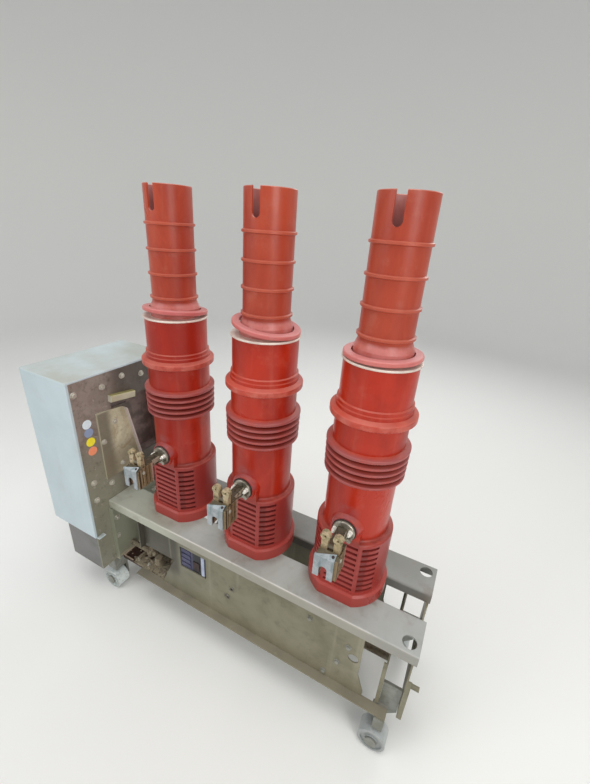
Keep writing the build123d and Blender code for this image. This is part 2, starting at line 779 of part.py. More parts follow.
# Contact block behind the clip: arm to the terminal, two legs and two upright jaws
with BuildPart() as contact:
    jaw_back = contact_front - jaw_depth
    tail_front = clip_front - clip_sheet - seat_gap
    with BuildSketch(Plane.YZ.offset(-contact_half_width)):
        with BuildLine():
            Polyline(
                (-cross_back, leg_top), (-tail_front, leg_top), (-tail_front, clip_top),
                (-contact_front, contact_top), (-cross_back, contact_top), close=True,
            )
        make_face()
    extrude(amount=2 * contact_half_width)
    with BuildSketch(Plane.XY.offset(contact_bottom)):
        for side in (-1, 1):
            with Locations((side * (contact_half_width - leg_width / 2), -(cross_back + tail_front) / 2)):
                Rectangle(leg_width, tail_front - cross_back)
    extrude(amount=leg_top - contact_bottom + 1)
    # grooves between the spring leaves on both sides
    for groove in range(groove_count):
        groove_y = -cross_back - (groove + 1) * (tail_front - cross_back) / (groove_count + 1)
        for side in (-1, 1):
            with BuildSketch(Plane.XY.offset(contact_bottom)):
                with Locations((side * contact_half_width, groove_y)):
                    Rectangle(2 * groove_depth, groove_width)
            extrude(amount=contact_top - contact_bottom, mode=Mode.SUBTRACT)
    with BuildSketch(Plane.XZ.offset(boss_front + terminal_length + seat_gap)):
        with Locations(((arm_left + arm_right) / 2, boss_z)):
            RectangleRounded(arm_right - arm_left, arm_height, 3)
    extrude(amount=cross_back + 1 - boss_front - terminal_length - seat_gap)
    head_z = jaw_top - jaw_head_radius
    with BuildSketch(Plane.XZ.offset(jaw_back)):
        for side in (-1, 1):
            with Locations((side * jaw_spacing / 2, (contact_top - 4 + head_z) / 2)):
                Rectangle(jaw_width, head_z - contact_top + 4)
            with Locations((side * jaw_spacing / 2, head_z)):
                Circle(jaw_head_radius)
                Circle(jaw_hole_radius, mode=Mode.SUBTRACT)
    extrude(amount=jaw_depth)

# Sheet clip with an arched notch
with BuildPart() as clip:
    outer = contact_half_width + seat_gap + clip_sheet
    with BuildSketch(Plane.XY.offset(clip_bottom)):
        with BuildLine():
            Polyline(
                (-outer, -clip_back), (-outer, -clip_front), (clip_right, -clip_front),
                (clip_right, -clip_front + clip_sheet), (-outer + clip_sheet, -clip_front + clip_sheet),
                (-outer + clip_sheet, -clip_back), close=True,
            )
        make_face()
    extrude(amount=clip_top - clip_bottom)
    notch_x = (clip_right - outer) / 2
    with BuildSketch(Plane.XZ.offset(clip_front - 2 * clip_sheet)):
        with Locations((notch_x, clip_bottom + clip_notch_height - clip_notch_width / 2)):
            Circle(clip_notch_width / 2)
        with Locations((notch_x, clip_bottom + (clip_notch_height - clip_notch_width / 2) / 2)):
            Rectangle(clip_notch_width, clip_notch_height - clip_notch_width / 2)
    extrude(amount=3 * clip_sheet, mode=Mode.SUBTRACT)


# Loose ring, lying askew around the foot of each tube
def build_loose_ring(pole_x, tilt_x, tilt_y, label):
    # the lower outer edge rests on the metal ring
    tilt = math.radians(max(abs(tilt_x), abs(tilt_y)))
    lift = seat_gap + (loose_ring_outer - loose_ring_edge) * math.sin(tilt) - loose_ring_edge * (math.cos(tilt) - 1)
    seat = Plane(origin=(pole_x, 0, deck_z + collar_top + rim_thickness + lift)).rotated((tilt_x, tilt_y, 0))
    with BuildPart() as ring:
        with BuildSketch(seat):
            Circle(loose_ring_outer)
            Circle(loose_ring_inner, mode=Mode.SUBTRACT)
        extrude(amount=loose_ring_height)
        fillet(ring.edges().filter_by(GeomType.CIRCLE).group_by(SortBy.RADIUS)[-1], radius=loose_ring_edge)
    write(ring.part, f"{label}_loose_ring")


ring_tilts = {"left": (-5.5, 0.0), "middle": (0.0, 9.0), "right": (0.0, -2.0)}

for name, pole_x in pole_names.items():
    stand = Location((pole_x, 0, deck_z))
    write(pole_body.part.moved(stand), f"{name}_pole_body")
    write(rim.part.moved(stand), f"{name}_metal_ring")
    write(tube.part.moved(stand), f"{name}_upper_tube")
    write(terminal.part.moved(stand), f"{name}_lower_terminal")
    write(contact.part.moved(stand), f"{name}_contact_jaws")
    write(clip.part.moved(stand), f"{name}_contact_clip")
    tilt_x, tilt_y = ring_tilts[name]
    build_loose_ring(pole_x, tilt_x, tilt_y, name)
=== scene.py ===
"""Looks of a vacuum circuit breaker on a roller truck: materials, fasteners and small trim."""
import math
import random

import bmesh
import bpy
from mathutils import Matrix, Vector


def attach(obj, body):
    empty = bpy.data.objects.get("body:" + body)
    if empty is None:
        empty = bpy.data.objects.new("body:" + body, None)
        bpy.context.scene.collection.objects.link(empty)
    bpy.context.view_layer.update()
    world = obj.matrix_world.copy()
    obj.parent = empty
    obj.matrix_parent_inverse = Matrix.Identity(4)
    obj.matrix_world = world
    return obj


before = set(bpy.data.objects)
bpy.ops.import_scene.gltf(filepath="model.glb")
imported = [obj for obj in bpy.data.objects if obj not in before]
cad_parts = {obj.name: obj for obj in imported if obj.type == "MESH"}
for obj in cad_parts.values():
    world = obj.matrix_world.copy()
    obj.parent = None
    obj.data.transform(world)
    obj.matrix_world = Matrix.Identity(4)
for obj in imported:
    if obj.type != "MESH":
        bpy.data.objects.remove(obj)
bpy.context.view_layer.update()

# Layout, metres, from the foot of the middle pole's axis; START brings it to the frame's origin
START = Vector((0.0735, 0.013, 0.0))
PITCH = 0.230
POLES = {"left": -PITCH, "middle": 0.0, "right": PITCH}
DECK = 0.320                 # top of the beams
WEB_FRONT = -0.100
WEB_BACK = 0.106
PLATE_FACE = -0.406          # face of the mechanism's side plate
LINKAGE_FACE = -0.4032
LEFT_END_FACE = -0.4027
RIGHT_END_FACE = 0.407
COVER_LEFT = -0.577
COVER_BACK = 0.127
HOUSING_BACK = 0.105
TERMINAL_Z = DECK + 0.187
TRAY_FLOOR = 0.1086
POCKET_FLOOR = 0.1016
TRAY_SEAT = 0.1087           # foot of what lies on the tray

# Where a pole changes its look: the start and the end of the change, as heights
PLINTH_TOP = (DECK + 0.030, DECK + 0.036)
LOUVRES = (DECK + 0.033, DECK + 0.149)
FRONT_LOUVRES = (DECK + 0.033, DECK + 0.1495)
FOOT_TOP = (DECK + 0.150, DECK + 0.168)
FOOT_SEAM = (DECK + 0.156, DECK + 0.166)
BOSS = (DECK + 0.190, DECK + 0.235)
SHAFT_START = (DECK + 0.27, DECK + 0.28)
SHED_POCKETS = (DECK + 0.284, DECK + 0.344)
SHEDS = (DECK + 0.284, DECK + 0.354)
TUBE_FOOT = (DECK + 0.500, DECK + 0.5395)
TUBE_START = (DECK + 0.53, DECK + 0.535)
TUBE_TOP = (1.0755, 1.0772)

# The same as distances from the pole's axis
BORE = (0.0412, 0.0422)
BEADS = (0.0470, 0.0486)
SHED_ROOTS = (0.0670, 0.0765)
SHED_EDGES = (0.0690, 0.0765)
SLIT_FLOOR = (0.0725, 0.0745)
RIMS = (0.0763, 0.0786)
DECK_STAIN = (0.084, 0.110)

# The same on the contacts: heights, and the arm's start in Y
CLIP_MIDDLE = (DECK + 0.166, DECK + 0.178)
JAW_NECK = (DECK + 0.196, DECK + 0.212)
BLOCK_TOP = (DECK + 0.1962, DECK + 0.2034)
BLOCK_END = (DECK + 0.200, DECK + 0.203)
JAW_HEADS = (DECK + 0.214, DECK + 0.232)
ARM_START = (-0.1215, -0.1195)

# The same on the beams and the truck, along the axis in the comment
FOLD = (DECK - 0.0055, DECK - 0.0010)              # Z
LIP_TOP = (DECK - 0.0048, DECK - 0.0035)           # Z
FRONT_EDGE = (-0.1112, -0.1070)                    # Y
BACK_EDGE = (0.1130, 0.1172)                       # Y
BEAM_GAP = (-0.0345, 0.0405)                       # Y
END_PLATE_INSIDE = (-0.3880, -0.3850)              # X
END_FOOT_INSIDE = (-0.3960, -0.3940)               # X
END_FOOT_TOP = (0.1172, 0.1180)                    # Z
SHELF_TOP = (0.106, 0.108)                         # Z
WEB_TOE = (0.108, 0.150)                           # Z
LINKAGE_FRONT = (-0.1060, -0.1035)                 # Y
LINKAGE_TOP = (0.5725, 0.5745)                     # Z
WEB_HOLES = (((-0.034, -0.018), (0.178, 0.194)), ((-0.019, -0.005), (0.211, 0.225)))     # X and Z of each
COVER_HOLLOW = {"x": (-0.4499, -0.4101), "y": (-0.0712, 0.0972), "z": (0.3968, 0.5952)}

X, Y, Z = Vector((1, 0, 0)), Vector((0, 1, 0)), Vector((0, 0, 1))


# ---------------------------------------------------------------- materials
def srgb(r, g, b):
    """A colour as it looks on screen, 0 to 255, in linear light."""
    return tuple((c / 255) ** 2.2 for c in (r, g, b)) + (1.0,)


class Paint:
    """A material's node tree, with short names for the nodes used here."""

    def __init__(self, name, metal=0.0, specular=0.5, coat=0.0):
        self.material = bpy.data.materials.new(name)
        self.material.use_nodes = True
        self.tree = self.material.node_tree
        self.tree.nodes.clear()
        out = self.node("ShaderNodeOutputMaterial")
        self.shader = self.node("ShaderNodeBsdfPrincipled")
        self.tree.links.new(self.shader.outputs[0], out.inputs[0])
        self.shader.inputs["Metallic"].default_value = metal
        self.shader.inputs["Specular IOR Level"].default_value = specular
        self.shader.inputs["Coat Weight"].default_value = coat
        self.shader.inputs["Coat Roughness"].default_value = 0.25
        shift = self.node("ShaderNodeVectorMath")
        shift.operation = "SUBTRACT"
        shift.inputs[1].default_value = START
        self.tree.links.new(self.node("ShaderNodeTexCoord").outputs["Object"], shift.inputs[0])
        self.where = shift.outputs[0]
        split = self.node("ShaderNodeSeparateXYZ")
        self.tree.links.new(self.where, split.inputs[0])
        self.axes = dict(zip("xyz", split.outputs))
        normal = self.node("ShaderNodeSeparateXYZ")
        geometry = self.node("ShaderNodeNewGeometry")
        self.tree.links.new(geometry.outputs["Normal"], normal.inputs[0])
        self.facing = dict(zip("xyz", normal.outputs))

    def node(self, kind):
        return self.tree.nodes.new(kind)

    def put(self, value, socket):
        if isinstance(value, bpy.types.NodeSocket):
            self.tree.links.new(value, socket)
        else:
            socket.default_value = value

    def noise(self, scale, detail=4.0, rough=0.55, stretch=None, warp=0.0):
        tex = self.node("ShaderNodeTexNoise")
        tex.inputs["Scale"].default_value = scale
        tex.inputs["Detail"].default_value = detail
        tex.inputs["Roughness"].default_value = rough
        tex.inputs["Distortion"].default_value = warp
        source = self.where
        if stretch:
            mapping = self.node("ShaderNodeMapping")
            mapping.inputs["Scale"].default_value = stretch
            self.tree.links.new(source, mapping.inputs[0])
            source = mapping.outputs[0]
        self.tree.links.new(source, tex.inputs["Vector"])
        return tex.outputs["Fac"]

    def range(self, value, low, high, to_low=0.0, to_high=1.0):
        """A value's way from low to high, as a smooth change between two others."""
        node = self.node("ShaderNodeMapRange")
        node.interpolation_type = "SMOOTHSTEP"
        self.put(value, node.inputs["Value"])
        for name, number in (
            ("From Min", low), ("From Max", high), ("To Min", to_low), ("To Max", to_high),
        ):
            node.inputs[name].default_value = number
        return node.outputs["Result"]

    def math(self, operation, a, b):
        node = self.node("ShaderNodeMath")
        node.operation = operation
        node.use_clamp = operation == "ADD"
        self.put(a, node.inputs[0])
        self.put(b, node.inputs[1])
        return node.outputs[0]

    def times(self, *values):
        result = values[0]
        for value in values[1:]:
            result = self.math("MULTIPLY", result, value)
        return result

    def patches(self, scale, low, high, to_low=0.0, to_high=1.0, **look):
        """Noise that is cut between two levels into patches."""
        return self.range(self.noise(scale, **look), low, high, to_low, to_high)

    def past(self, axis, low, high, share=1.0):
        """0 up to a place on an axis, the share beyond it."""
        return self.range(self.axes[axis], low, high, 0.0, share)

    def short_of(self, axis, low, high, share=1.0):
        """The share up to a place on an axis, 0 beyond it."""
        return self.range(self.axes[axis], low, high, share, 0.0)

    def band(self, axis, low, high, soft=0.002):
        """1 between two planes across an axis, 0 outside."""
        rise = self.past(axis, low - soft, low + soft)
        fall = self.short_of(axis, high - soft, high + soft)
        return self.times(rise, fall)

    def pole_radius(self):
        """Distance from the axis of whichever pole is nearest."""
        node = self.node("ShaderNodeMath")
        node.operation = "WRAP"
        self.put(self.axes["x"], node.inputs[0])
        node.inputs[1].default_value = PITCH / 2
        node.inputs[2].default_value = -PITCH / 2
        flat = self.node("ShaderNodeCombineXYZ")
        self.put(node.outputs[0], flat.inputs[0])
        self.put(self.axes["y"], flat.inputs[1])
        length = self.node("ShaderNodeVectorMath")
        length.operation = "LENGTH"
        self.put(flat.outputs[0], length.inputs[0])
        return length.outputs["Value"]

    def facing_mask(self, axis, sign, low=0.5, high=0.9):
        """1 on faces that look along an axis, 0 on the others."""
        value = self.facing[axis] if sign > 0 else self.math("MULTIPLY", self.facing[axis], -1.0)
        return self.range(value, low, high)

    def both_sides(self, axis):
        """1 on faces that look either way along an axis."""
        return self.math("ADD", self.facing_mask(axis, -1), self.facing_mask(axis, 1))

    def over(self, color, share):
        """Lays another colour over the present one."""
        under = self.shader.inputs["Base Color"].links[0].from_socket
        self.color(self.mix(under, color, share))

    def mix(self, under, over, share):
        node = self.node("ShaderNodeMix")
        node.data_type = "RGBA"
        self.put(share, node.inputs["Factor"])
        self.put(under, node.inputs[6])
        self.put(over, node.inputs[7])
        return node.outputs[2]

    def color(self, value):
        self.put(value, self.shader.inputs["Base Color"])

    def rough(self, value):
        self.put(value, self.shader.inputs["Roughness"])

    def bump(self, height, strength, depth):
        node = self.node("ShaderNodeBump")
        node.inputs["Strength"].default_value = strength
        node.inputs["Distance"].default_value = depth
        self.tree.links.new(height, node.inputs["Height"])
        self.tree.links.new(node.outputs[0], self.shader.inputs["Normal"])


def epoxy(name, base, deep, chalk, dusty=0.5):
    """Moulded red epoxy: a soft sheen, cloudy colour, chalky dust on whatever faces up."""
    p = Paint(name, specular=0.32, coat=0.12)
    cloud = p.noise(9.0, 5.0, 0.6, stretch=(1, 1, 0.45), warp=0.4)
    fine = p.noise(140.0, 3.0)
    color = p.mix(base, deep, p.range(cloud, 0.38, 0.66))
    color = p.mix(color, chalk, p.patches(30.0, 0.52, 0.78, 0.0, 0.2, detail=6.0, rough=0.65))
    # dust lies on the sheds, the louvres and the shoulders
    up = p.range(p.facing["z"], 0.25, 0.9)
    dust = p.times(up, p.patches(22.0, 0.3, 0.7, 0.45 * dusty, dusty, detail=5.0))
    color = p.mix(color, chalk, dust)
    # runs and rubbed streaks down the sides
    streak = p.patches(34.0, 0.55, 0.75, 0.0, 0.16, rough=0.6, stretch=(1, 1, 0.08))
    color = p.mix(color, chalk, streak)
    p.color(color)
    p.rough(p.math("ADD", p.range(cloud, 0.3, 0.7, 0.26, 0.42), p.math("MULTIPLY", dust, 0.35)))
    p.bump(p.math("ADD", fine, p.math("MULTIPLY", cloud, 0.5)), 0.12, 0.0006)
    return p


def sheet_metal(name, base, other, dirt, metal, rough, scale, dust_color=None, dust=0.35, grime=0.5):
    """Painted or plated sheet: mottled plating, dirt clouds, fine scratches and settled dust."""
    p = Paint(name, metal=metal)
    cloud = p.noise(scale, 6.0, 0.62, warp=0.6)
    mottle = p.noise(scale * 4.5, 5.0, 0.6, warp=0.3)
    color = p.mix(base, other, p.range(cloud, 0.35, 0.68))
    color = p.mix(color, dirt, p.range(mottle, 0.5, 0.8, 0.0, grime))
    color = p.mix(color, dirt, p.patches(260.0, 0.66, 0.74, 0.0, 0.5 * grime, detail=2.0))
    up = p.range(p.facing["z"], 0.3, 0.95)
    settled = p.times(up, p.patches(scale * 2.2, 0.3, 0.72, 0.25 * dust, dust, detail=5.0))
    if dust_color:
        color = p.mix(color, dust_color, settled)
    scratch = p.patches(60.0, 0.60, 0.70, detail=3.0, rough=0.7, stretch=(0.06, 1.0, 1.0))
    p.color(color)
    sheen = p.range(cloud, 0.3, 0.7, rough - 0.07, rough + 0.09)
    p.rough(p.math("ADD", sheen, p.math("MULTIPLY", settled, 0.4)))
    p.bump(p.math("ADD", p.math("MULTIPLY", mottle, 0.6), p.math("MULTIPLY", scratch, 0.3)), 0.12, 0.0007)
    return p


def paint_pole_bodies():
    p = epoxy("body_red", srgb(181, 49, 28), srgb(152, 37, 22), srgb(192, 118, 102))
    # the louvred foot is duller and dustier than the shaft above it
    foot = p.short_of("z", *FOOT_TOP)
    p.over(srgb(144, 60, 58), p.times(foot, 0.75))
    plinth = p.short_of("z", *PLINTH_TOP)
    p.over(srgb(176, 74, 66), p.times(plinth, 0.45))
    # rubbed, chalky rims of the sheds and the skirt
    radius = p.pole_radius()
    shaft = p.past("z", *SHAFT_START)
    worn = p.patches(45.0, 0.35, 0.65, 0.25, 0.8, detail=5.0)
    p.over(srgb(196, 104, 90), p.times(p.range(radius, *RIMS), shaft, worn))
    # mauve dust on the sheds, and painted shade in the pockets between them
    pocket_shade_zone = p.band("z", *SHED_POCKETS, 0.004)
    shed_dust = p.times(
        p.band("z", *SHEDS, 0.003), p.range(radius, *SHED_EDGES), p.range(worn, 0.2, 0.8, 0.55, 0.85))
    p.over(srgb(154, 84, 84), shed_dust)
    p.over(srgb(106, 28, 26), p.times(p.range(radius, *SHED_ROOTS, 1.0, 0.0), pocket_shade_zone, 0.8))
    # painted shade in the slits of the louvres, on the curved sides and on the flat front
    shaded_slits = p.times(
        p.range(radius, *SLIT_FLOOR, 1.0, 0.0), foot, p.band("z", *LOUVRES), p.past("y", -0.0655, -0.0645))
    p.over(srgb(84, 32, 30), p.times(shaded_slits, 0.6))
    shaded_front_slits = p.times(
        p.band("y", -0.0675, -0.0600, 0.0008), p.band("z", *FRONT_LOUVRES), p.facing_mask("y", -1))
    p.over(srgb(84, 32, 30), p.times(shaded_front_slits, 0.65))
    # mauve dust on the boss round the terminal's recess
    boss = p.times(
        p.short_of("y", -0.0700, -0.0600), p.band("z", *BOSS, 0.006), p.patches(70.0, 0.35, 0.6, 0.25, 0.8))
    p.over(srgb(148, 84, 86), boss)
    # faint grime where the shaft meets the foot
    p.over(srgb(112, 50, 42), p.times(p.band("z", *FOOT_SEAM, 0.004), p.range(worn, 0.2, 0.8, 0.1, 0.5)))
    return p


def paint_tubes():
    p = epoxy("tube_red", srgb(180, 76, 54), srgb(156, 58, 42), srgb(196, 132, 114), dusty=0.35)
    radius = p.pole_radius()
    beads = p.times(p.range(radius, *BEADS), p.past("z", *TUBE_START))
    p.over(srgb(196, 106, 86), p.times(beads, 0.35))
    # a dusty bore, a rubbed upper edge and dust round the foot
    bore = p.times(p.range(radius, *BORE, 1.0, 0.0), p.patches(30.0, 0.3, 0.65, 0.5, 0.9))
    p.over(srgb(176, 124, 122), bore)
    top = p.times(p.past("z", *TUBE_TOP), p.patches(60.0, 0.4, 0.6, 0.3, 0.9))
    p.over(srgb(190, 118, 100), top)
    foot = p.times(p.band("z", *TUBE_FOOT, 0.004), p.patches(40.0, 0.3, 0.6, 0.3, 0.75, detail=5.0))
    p.over(srgb(202, 128, 124), foot)
    return p


def paint_loose_rings():
    p = epoxy("salmon_ring", srgb(206, 120, 114), srgb(190, 98, 96), srgb(196, 146, 144), dusty=0.55)
    p.shader.inputs["Coat Weight"].default_value = 0.0
    return p


def paint_terminals():
    p = sheet_metal(
        "terminal_silver", srgb(178, 172, 160), srgb(128, 122, 108), srgb(62, 62, 48), 0.7, 0.34, 60.0,
        grime=0.8)
    tarnish = p.patches(75.0, 0.55, 0.68, 0.0, 0.75, rough=0.6, warp=0.8)
    p.over(srgb(52, 56, 40), tarnish)
    return p


def paint_jaws():
    p = sheet_metal(
        "jaw_bronze", srgb(196, 178, 146), srgb(170, 150, 114), srgb(96, 80, 54), 0.45, 0.42, 70.0,
        dust_color=srgb(206, 196, 168), dust=0.5, grime=0.6)
    low_part = p.short_of("z", *JAW_NECK)
    p.over(srgb(112, 88, 58), p.times(low_part, 0.72))
    # edges of the block's leaves, seen from the side: a painted shadow behind the clip, tan leaves, then a
    # painted highlight on the pale back edge
    block = p.short_of("z", *BLOCK_END)
    block_side = p.times(block, p.both_sides("x"))
    for front, back, leaf_and_painted_light, share in (
        (-0.1620, -0.1565, srgb(52, 46, 36), 0.85), (-0.1565, -0.1470, srgb(164, 146, 118), 0.7),
        (-0.1430, -0.1370, srgb(126, 108, 84), 0.5), (-0.1262, -0.1215, srgb(196, 160, 150), 0.75),
    ):
        p.over(leaf_and_painted_light, p.times(block_side, p.band("y", front, back, 0.0004), share))
    # the arm is silvered and tarnished, like the terminal behind it
    arm = p.past("y", *ARM_START)
    tarnish = p.patches(85.0, 0.47, 0.58, detail=5.0, rough=0.65, warp=1.0)
    p.over(p.mix(srgb(182, 172, 154), srgb(62, 58, 45), tarnish), p.times(arm, 0.92))
    # verdigris on the heads, dirt on the block's top, and dark stains all over
    verdigris = p.patches(120.0, 0.48, 0.6, 0.0, 0.6, detail=3.0, rough=0.6)
    p.over(srgb(108, 116, 80), p.times(p.past("z", *JAW_HEADS), verdigris))
    block_top = p.times(p.band("z", *BLOCK_TOP, 0.0004), p.facing_mask("z", 1, 0.3, 0.6))
    p.over(srgb(62, 56, 42), p.times(block_top, 0.84))
    stains = p.patches(115.0, 0.55, 0.66, 0.0, 0.7, rough=0.6, warp=0.5)
    p.over(srgb(66, 54, 36), stains)
    return p


def paint_clips():
    p = sheet_metal(
        "clip_zinc", srgb(168, 174, 178), srgb(142, 150, 154), srgb(104, 108, 112), 0.3, 0.36, 40.0,
        grime=0.5)
    runs = p.patches(110.0, 0.50, 0.62, 0.0, 0.55, detail=3.0, rough=0.5, stretch=(1, 1, 0.16))
    p.over(srgb(104, 124, 128), p.times(runs, p.past("z", *CLIP_MIDDLE)))
    return p


def paint_beams():
    p = sheet_metal(
        "deck_paint", srgb(172, 177, 174), srgb(152, 156, 150), srgb(116, 113, 103), 0.1, 0.42, 7.0,
        dust_color=srgb(168, 167, 159), dust=0.35, grime=0.4)
    # painted highlight along the fold of the outer edges, broken up like rubbed wear
    fold = p.past("z", *FOLD)
    outer = p.math("ADD", p.short_of("y", *FRONT_EDGE), p.past("y", *BACK_EDGE))
    fold_wear_and_highlight = p.patches(38.0, 0.35, 0.6, 0.5, 1.0, detail=5.0, rough=0.65, stretch=(0.25, 1, 1))
    p.over(srgb(226, 222, 214), p.times(fold, outer, fold_wear_and_highlight))
    # the front lip is browner, and carries painted light on its face near the mechanism
    lit_left_lip = p.times(p.facing_mask("y", -1, 0.6, 0.9), p.short_of("x", -0.25, -0.15, 0.6))
    lip = p.times(p.facing_mask("y", -1, 0.6, 0.9), p.short_of("y", -0.105, -0.100, 0.8))
    p.over(srgb(156, 150, 138), lip)
    p.over(srgb(196, 196, 184), lit_left_lip)
    # painted shade on the inner edges of the beams
    shaded_inner_lip = p.times(p.band("y", *BEAM_GAP, 0.0008), p.short_of("z", *LIP_TOP))
    p.over(srgb(66, 54, 44), p.times(shaded_inner_lip, 0.88))
    # the back beam is darker, the front one greener near the housing, and both duller at the free end
    back_beam = p.past("y", 0.0, 0.02, 0.55)
    p.over(srgb(116, 117, 110), back_beam)
    near_housing = p.times(p.short_of("x", -0.24, -0.12, 0.5), p.short_of("y", -0.02, 0.0))
    p.over(srgb(172, 176, 156), near_housing)
    free_end = p.past("x", 0.29, 0.35, 0.5)
    p.over(srgb(140, 141, 137), free_end)
    # stains around the poles' feet, and old drips
    stains = p.times(
        p.range(p.pole_radius(), *DECK_STAIN, 1.0, 0.0), p.patches(26.0, 0.42, 0.64, 0.05, 0.5, detail=5.0))
    p.over(srgb(118, 106, 94), stains)
    drips = p.patches(14.0, 0.60, 0.68, 0.0, 0.28, detail=3.0, rough=0.5, warp=1.5)
    p.over(srgb(140, 128, 118), drips)
    return p


def paint_truck():
    p = sheet_metal(
        "truck_plating", srgb(131, 127, 106), srgb(114, 110, 89), srgb(88, 78, 62), 0.15, 0.44, 8.0,
        dust_color=srgb(150, 144, 128), dust=0.6, grime=0.5)
    # greyer towards the mechanism, with a paler end plate and foot
    mechanism_end = p.short_of("x", -0.33, -0.02, 0.75)
    p.over(srgb(114, 114, 103), mechanism_end)
    end_plate = p.short_of("x", *END_PLATE_INSIDE, 0.8)
    p.over(srgb(156, 159, 139), end_plate)
    end_foot = p.times(p.short_of("x", *END_FOOT_INSIDE), p.short_of("z", *END_FOOT_TOP))
    p.over(srgb(196, 186, 166), p.times(end_foot, 0.85))
    # painted shadow on the front web beside the tray's opening, and two small dark patches at its holes
    shaded = p.times(p.short_of("x", -0.19, -0.168), p.past("x", -0.302, -0.300), p.past("z", 0.145, 0.185))
    near_side = p.short_of("y", -0.05, 0.0)
    p.over(srgb(66, 63, 55), p.times(shaded, near_side, 0.82))
    holes = p.math("ADD", *(
        p.times(p.band("x", *across, 0.004), p.band("z", *up, 0.004)) for across, up in WEB_HOLES))
    p.over(srgb(58, 50, 42), p.times(holes, near_side, p.patches(120.0, 0.35, 0.6, 0.2, 0.85)))
    # dusty shelf, pale runs down the webs, and dust along their toe
    shelf = p.times(p.facing_mask("z", 1), p.short_of("z", *SHELF_TOP))
    p.over(srgb(122, 116, 102), p.times(shelf, 0.7))
    runs = p.patches(30.0, 0.60, 0.72, 0.0, 0.3, detail=3.0, rough=0.5, stretch=(1.0, 1.0, 0.05))
    p.over(srgb(170, 164, 146), runs)
    toe = p.times(p.short_of("z", *WEB_TOE), p.patches(18.0, 0.35, 0.6, 0.2, 0.7, detail=5.0))
    p.over(srgb(150, 142, 122), p.times(toe, 0.6))
    return p


def paint_side_plate():
    p = sheet_metal(
        "side_plating", srgb(156, 146, 138), srgb(134, 122, 113), srgb(84, 74, 64), 0.1, 0.42, 14.0,
        grime=0.7)
    lower_part = p.short_of("z", 0.42, 0.56)
    p.over(srgb(136, 136, 118), p.times(lower_part, 0.82))
    specks = p.patches(58.0, 0.54, 0.70, 0.0, 0.42, detail=5.0, rough=0.7)
    p.over(srgb(72, 62, 52), specks)
    rubs = p.patches(70.0, 0.60, 0.70, 0.0, 0.45, rough=0.6, warp=0.8)
    p.over(srgb(186, 180, 168), rubs)
    # painted shade on the plate's far part, beside the poles
    shaded_far_side = p.past("y", -0.085, -0.020)
    p.over(srgb(70, 62, 56), p.times(shaded_far_side, 0.78))
    return p


def paint_linkage_plate():
    p = sheet_metal(
        "linkage_plating", srgb(216, 210, 182), srgb(186, 178, 150), srgb(96, 78, 58), 0.1, 0.4, 16.0,
        grime=0.6)
    front_part = p.short_of("y", -0.085, -0.060)
    p.over(srgb(112, 107, 94), p.times(front_part, 0.85))
    low_part = p.short_of("z", 0.42, 0.50, 0.6)
    p.over(srgb(132, 122, 100), low_part)
    rust = p.patches(24.0, 0.54, 0.66, 0.0, 0.6, rough=0.6, warp=0.8)
    p.over(srgb(150, 130, 94), p.times(rust, p.past("y", -0.085, -0.055)))
    # painted highlight along the face's front and top edges, and on the folds that face front and up and on
    # the fold's end
    edge_highlight = p.math("MAXIMUM", p.short_of("y", *LINKAGE_FRONT), p.past("z", *LINKAGE_TOP))
    p.over(srgb(196, 192, 170), p.times(edge_highlight, 0.6))
    lit_front_fold = p.facing_mask("y", -1, 0.6, 0.95)
    p.over(srgb(196, 188, 158), lit_front_fold)
    lit_top_fold = p.facing_mask("z", 1, 0.5, 0.9)
    p.over(srgb(196, 188, 158), lit_top_fold)
    lit_fold_end = p.past("x", LINKAGE_FACE + 0.0006, LINKAGE_FACE + 0.0022)
    p.over(srgb(206, 190, 190), p.times(lit_fold_end, 0.85))
    return p


def paint_rollers():
    p = sheet_metal(
        "roller_steel", srgb(232, 240, 238), srgb(206, 216, 216), srgb(112, 110, 104), 0.25, 0.36, 24.0,
        grime=0.5)
    # painted shade on the rollers' end faces, and the right rollers painted darker as shaded copies
    ends = p.both_sides("y")
    p.over(srgb(150, 152, 150), p.times(ends, 0.7))
    shaded_right_rollers = p.past("x", 0.0, 0.1, 0.68)
    p.over(srgb(146, 148, 148), shaded_right_rollers)
    return p


def paint_tray():
    p = sheet_metal(
        "tray_rust", srgb(152, 144, 124), srgb(126, 114, 94), srgb(74, 52, 38), 0.1, 0.66, 22.0,
        dust_color=srgb(150, 138, 118), dust=0.5, grime=0.85)
    pale = p.patches(60.0, 0.52, 0.66, 0.0, 0.6, detail=5.0, rough=0.65)
    p.over(srgb(170, 156, 136), pale)
    rust = p.patches(95.0, 0.52, 0.62, 0.0, 0.7, rough=0.65, warp=0.6)
    p.over(srgb(70, 54, 40), rust)
    pockets = p.short_of("z", 0.1030, 0.1055)
    p.over(srgb(56, 32, 22), p.times(pockets, 0.85))
    # rust runs on from the outer pocket to the tray's open corner
    corner = p.times(
        p.short_of("x", -0.3600, -0.3570), p.short_of("y", -0.0460, -0.0420),
        p.short_of("z", 0.1090, 0.1100))
    p.over(srgb(58, 34, 24), p.times(corner, 0.85))
    return p


def paint_cover():
    p = sheet_metal(
        "cover_paint", srgb(193, 208, 215), srgb(184, 198, 203), srgb(166, 163, 154), 0.0, 0.46, 3.0,
        dust_color=srgb(160, 160, 147), dust=0.85, grime=0.25)
    # painted shade lines the hollow behind the side plate's openings, mottled dark mauve
    hollow = p.times(*(p.band(axis, *ends, 0.0002) for axis, ends in COVER_HOLLOW.items()))
    tone = p.mix(srgb(142, 124, 118), srgb(104, 90, 84), p.patches(25.0, 0.4, 0.65))
    p.over(tone, hollow)
    return p


def paint_switch():
    p = sheet_metal(
        "switch_plastic", srgb(72, 72, 100), srgb(54, 55, 84), srgb(80, 76, 84), 0.0, 0.42, 30.0,
        grime=0.4)
    dark_half = p.past("x", -0.1345, -0.1335)
    p.over(srgb(26, 27, 36), dark_half)
    return p


